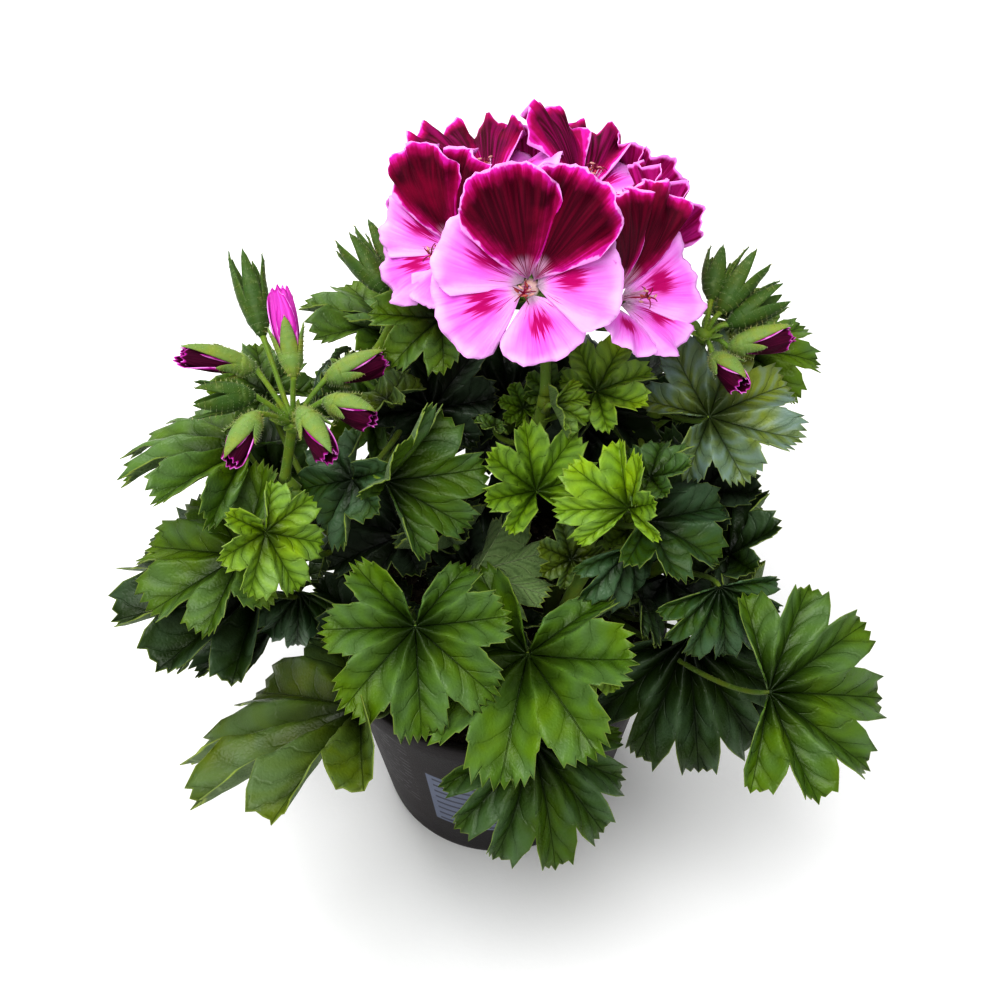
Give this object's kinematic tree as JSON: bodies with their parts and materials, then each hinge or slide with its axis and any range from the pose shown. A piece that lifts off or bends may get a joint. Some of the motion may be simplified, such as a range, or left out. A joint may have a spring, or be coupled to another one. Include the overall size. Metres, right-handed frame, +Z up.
{
  "type": "potted regal pelargonium",
  "caption": "Bushy flowering pot plant: lobed toothed leaves on branching stems, a dome of two-coloured ruffled blooms and bud clusters in a small tapered plastic pot.",
  "frame": {"origin": "centre of the pot's flat underside, where it stands on the surface", "axes": "+Z up; +Y away from the picture's camera; +X to the right as the picture sees it"},
  "size_m": [0.2696, 0.2276, 0.307],
  "materials": {
    "pot": "satin",
    "soil": "matte",
    "greenery": "satin",
    "dark_petal": "matte",
    "pale_petal": "matte",
    "bud_petal": "matte"
  },
  "bodies": {
    "root": {"pot": "pot", "soil": "soil", "leafy_stem_front_left": "greenery", "leafy_stem_front": "greenery", "leafy_stem_front_right": "greenery", "leafy_stem_right": "greenery", "leafy_stem_left": "greenery", "leafy_stem_centre_left": "greenery", "leafy_stem_centre": "greenery", "leafy_stem_centre_right": "greenery", "leafy_stem_back_left": "greenery", "leafy_stem_back_right": "greenery", "leafy_stem_back": "greenery", "bloom_1_upper": "dark_petal", "bloom_1_lower": "pale_petal", "bloom_2_upper": "dark_petal", "bloom_2_lower": "pale_petal", "bloom_3_upper": "dark_petal", "bloom_3_lower": "pale_petal", "bloom_4_upper": "dark_petal", "bloom_4_lower": "pale_petal", "bloom_5_upper": "dark_petal", "bloom_5_lower": "pale_petal", "bloom_6_upper": "dark_petal", "bloom_6_lower": "pale_petal", "bloom_7_upper": "dark_petal", "bloom_7_lower": "pale_petal", "bloom_8_upper": "dark_petal", "bloom_8_lower": "pale_petal", "bloom_9_upper": "dark_petal", "bloom_9_lower": "pale_petal", "bud_petals_left_1": "bud_petal", "bud_petals_left_3": "bud_petal", "bud_petals_left_5": "bud_petal", "bud_petals_left_6": "bud_petal", "bud_petals_left_7": "bud_petal", "bud_petals_left_8": "bud_petal", "bud_petals_right_4": "bud_petal", "bud_petals_right_5": "bud_petal"}
  },
  "joints": []
}
